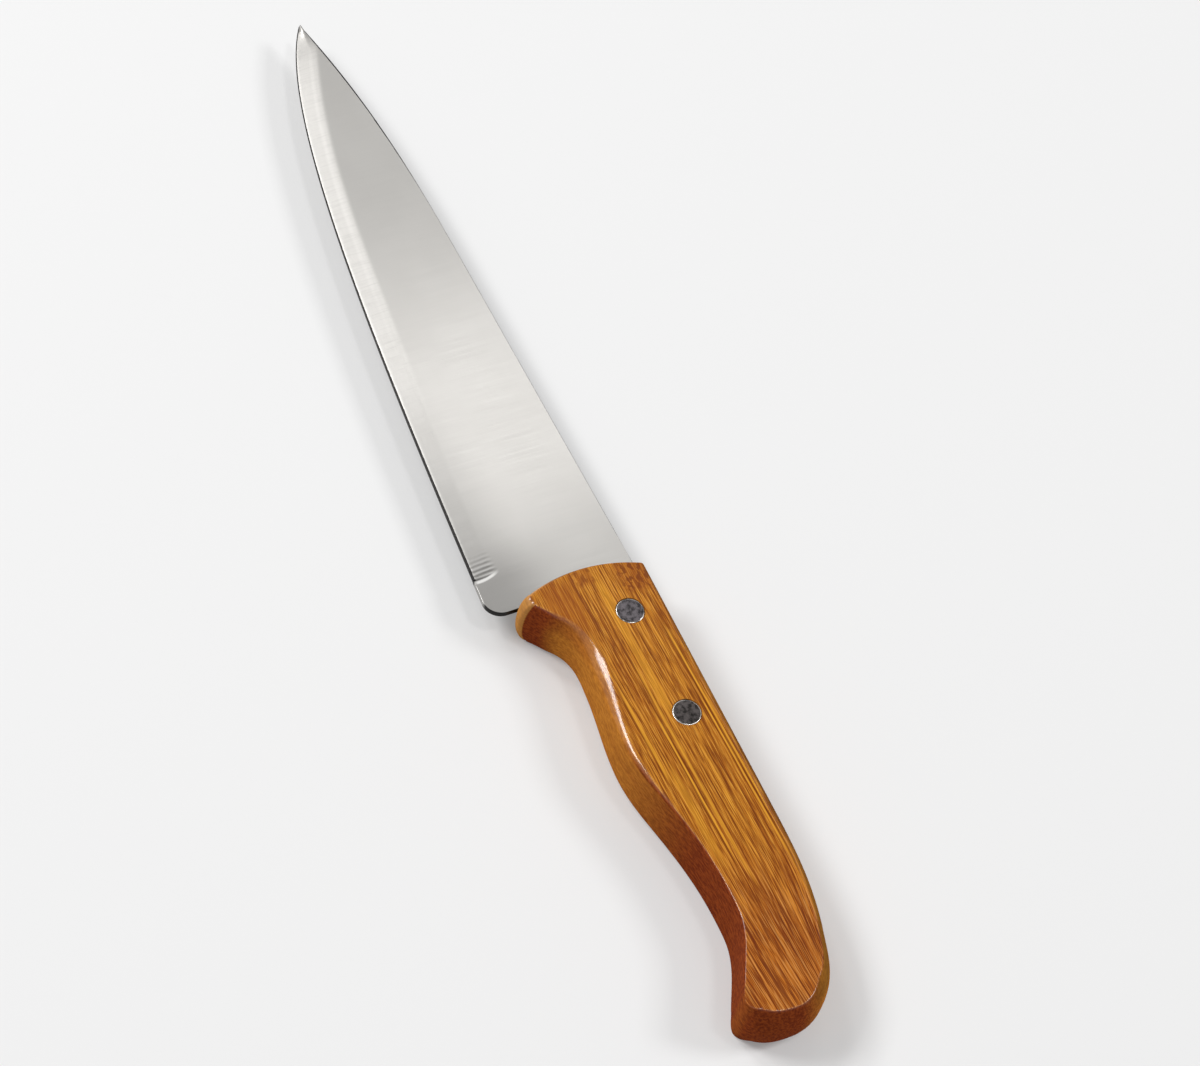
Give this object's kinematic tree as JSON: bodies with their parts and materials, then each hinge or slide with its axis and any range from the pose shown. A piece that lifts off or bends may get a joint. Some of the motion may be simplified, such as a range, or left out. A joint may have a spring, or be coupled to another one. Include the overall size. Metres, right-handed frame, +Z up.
{
  "type": "kitchen knife",
  "caption": "Kitchen knife with a tapering ground steel blade and a curved bamboo handle riveted round its partial tang.",
  "frame": {"origin": "middle of the floor under the knife as it lies on its right side", "axes": "+X from the tip toward the butt, +Y from the cutting edge toward the spine, +Z up out of the left side"},
  "size_m": [0.314, 0.0394, 0.016],
  "materials": {
    "blade_steel": "satin stainless steel with fine grinding marks across the bevel",
    "bamboo": "caramelised laminated bamboo under a gloss varnish, darker on its end grain",
    "rivet_steel": "polished steel ground flush with the handle"
  },
  "bodies": {
    "root": {"blade": "blade_steel", "handle": "bamboo", "front_rivet_post": "rivet_steel", "front_rivet_barrel": "rivet_steel", "rear_rivet_post": "rivet_steel", "rear_rivet_barrel": "rivet_steel"}
  },
  "joints": []
}
